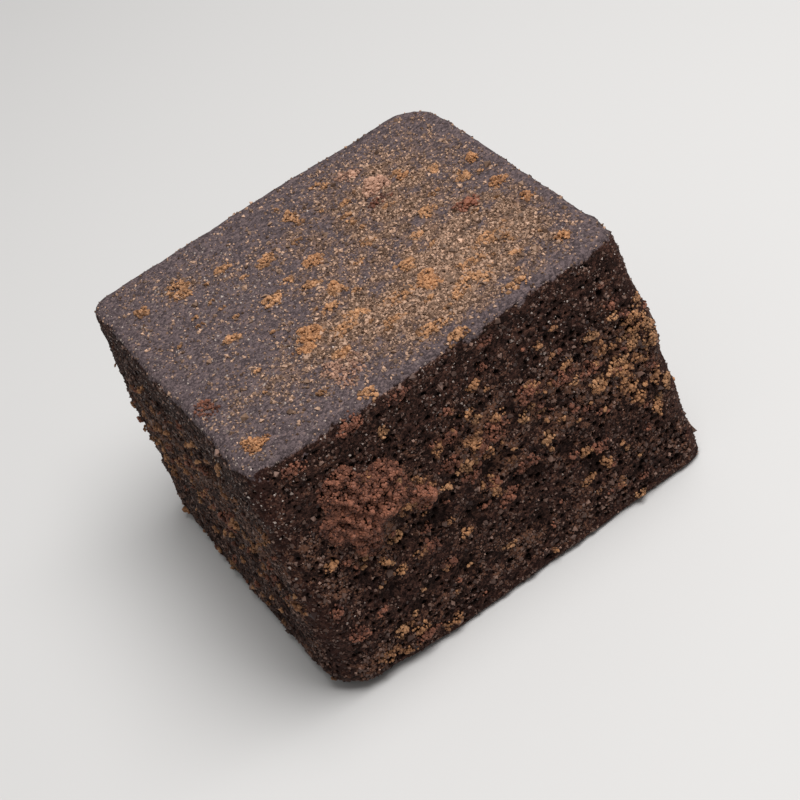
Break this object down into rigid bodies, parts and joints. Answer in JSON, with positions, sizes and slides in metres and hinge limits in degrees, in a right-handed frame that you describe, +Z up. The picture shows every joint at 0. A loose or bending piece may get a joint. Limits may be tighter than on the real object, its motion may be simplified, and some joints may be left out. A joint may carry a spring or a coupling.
{
  "type": "jaggery block",
  "caption": "Cast block of dark raw cane sugar with a smooth dusty top, porous sides and worn corners, resting on its flat base.",
  "frame": {"origin": "middle of the flat base, at the centre of the block's outline", "axes": "+X along the longest side, -Y the front porous side, +Z up, through the smooth cast top"},
  "size_m": [0.05, 0.045, 0.0335],
  "materials": {
    "jaggery": "dark brown raw sugar, satin and grainy, with golden sugar dust and crumbs"
  },
  "bodies": {
    "root": {"jaggery_block": "jaggery"}
  },
  "joints": []
}
